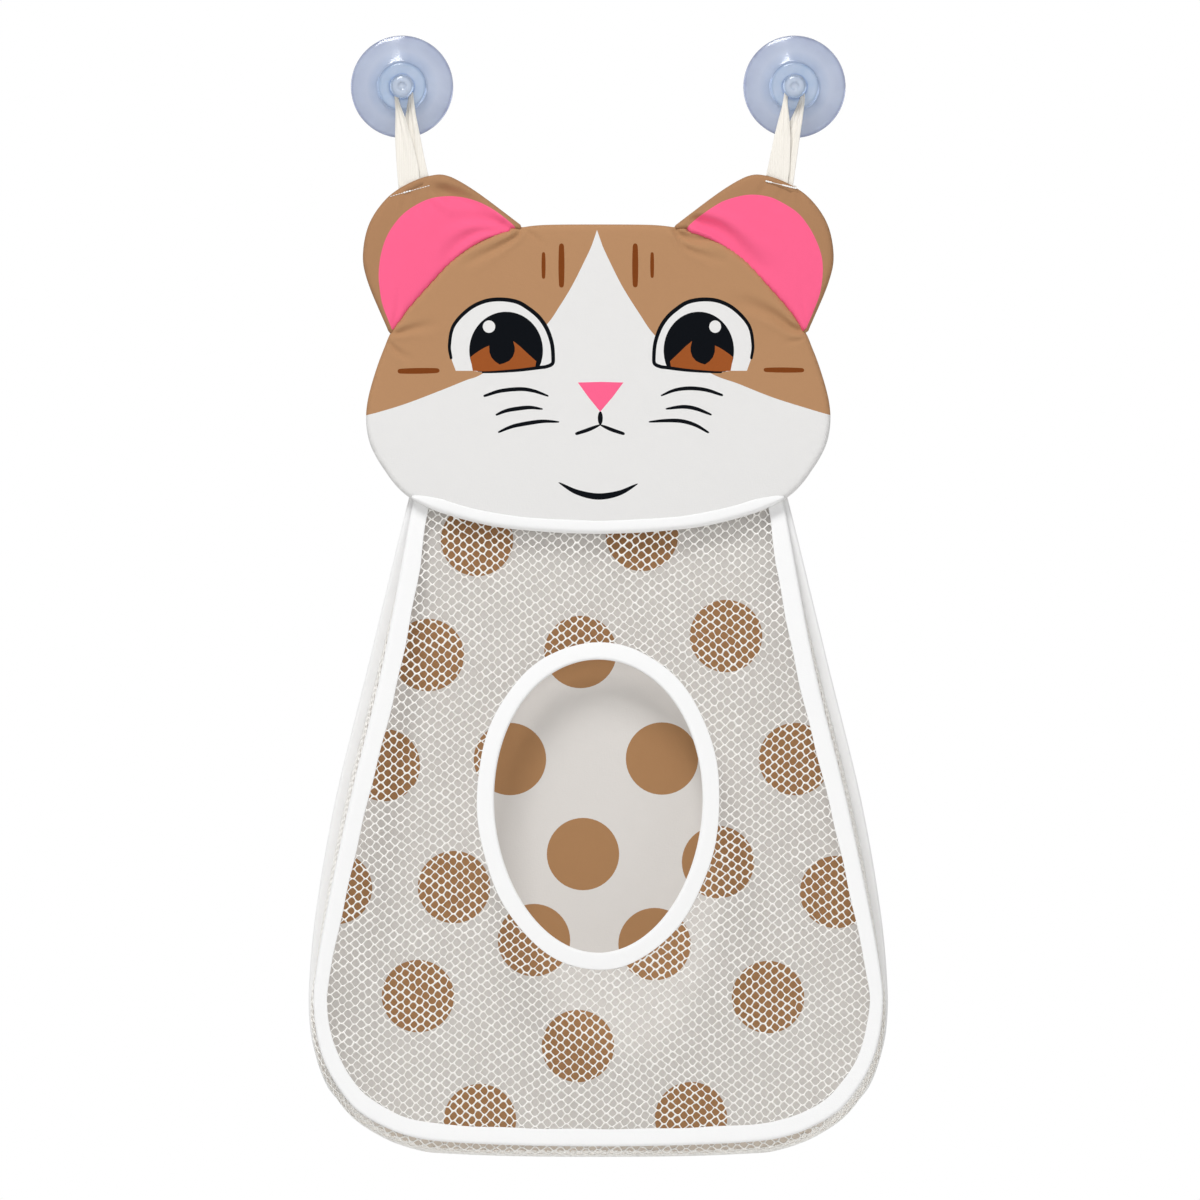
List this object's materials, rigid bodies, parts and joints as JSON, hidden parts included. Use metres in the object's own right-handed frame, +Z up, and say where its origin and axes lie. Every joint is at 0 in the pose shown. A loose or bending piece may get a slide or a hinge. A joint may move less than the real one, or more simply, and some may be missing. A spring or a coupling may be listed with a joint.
{
  "type": "bath toy organizer",
  "caption": "Wedge-shaped mesh bag with an oval opening and a padded animal-head top, hung by tape loops from suction cups.",
  "frame": {"origin": "on the wall, midway between the centres of the two suction cups", "axes": "+X to the right as seen from the room, +Y into the wall, +Z up"},
  "size_m": [0.2916, 0.065, 0.56],
  "materials": {
    "clear_pvc": "clear soft PVC, glossy",
    "cream_tape": "woven cotton tape",
    "white_thread": "polyester thread",
    "printed_cloth": "printed polyester, matt",
    "lining_cloth": "plain polyester, matt",
    "wadding": "thin bonded foam",
    "white_tape": "folded polyester tape",
    "white_net": "knitted polyester net",
    "dotted_cloth": "printed polyester, matt"
  },
  "bodies": {
    "suction_cups": {"left_suction_cup": "clear_pvc", "right_suction_cup": "clear_pvc"},
    "left_loop": {"left_loop": "cream_tape"},
    "left_foot": {"left_loop_foot": "cream_tape"},
    "right_loop": {"right_loop": "cream_tape"},
    "right_foot": {"right_loop_foot": "cream_tape"},
    "bag": {"left_loop_tail": "cream_tape", "right_loop_tail": "cream_tape", "left_ear_tack": "white_thread", "right_ear_tack": "white_thread", "left_ear_front": "printed_cloth", "right_ear_front": "printed_cloth", "left_ear_back": "lining_cloth", "right_ear_back": "lining_cloth", "head_front_panel": "printed_cloth", "head_wadding": "wadding", "head_back_panel": "lining_cloth", "head_hem_binding": "white_tape", "front_mesh": "white_net", "opening_binding": "white_tape", "front_binding": "white_tape", "gusset_mesh": "white_net", "back_binding": "white_tape", "back_panel": "dotted_cloth"}
  },
  "joints": [
    {"name": "left_loop_sway", "type": "hinge", "parent": "suction_cups", "child": "left_loop", "pos_m": [-0.0981, -0.01165, 0], "axis": [0, 1, 0], "range_deg": [-10, 10]},
    {"name": "right_loop_sway", "type": "hinge", "parent": "suction_cups", "child": "right_loop", "pos_m": [0.0981, -0.01165, 0], "axis": [0, 1, 0], "range_deg": [-10.5, 10.5]},
    {"name": "left_foot_turn", "type": "hinge", "parent": "left_loop", "child": "left_foot", "pos_m": [-0.09196, -0.01165, -0.0472], "axis": [0, 1, 0], "range_deg": [-11, 11]},
    {"name": "right_foot_turn", "type": "hinge", "parent": "right_loop", "child": "right_foot", "pos_m": [0.09196, -0.01165, -0.0472], "axis": [0, 1, 0], "range_deg": [-11, 11]},
    {"name": "bag_tilt", "type": "hinge", "parent": "left_foot", "child": "bag", "pos_m": [-0.09196, -0.01165, -0.0472], "axis": [-1, 0, 0], "range_deg": [0, 35]}
  ],
  "couplings": [
    {"joint": "right_loop_sway", "follows": "left_loop_sway", "ratio": 1},
    {"joint": "left_foot_turn", "follows": "left_loop_sway", "ratio": -1.0668},
    {"joint": "right_foot_turn", "follows": "left_loop_sway", "ratio": -1.0668}
  ]
}
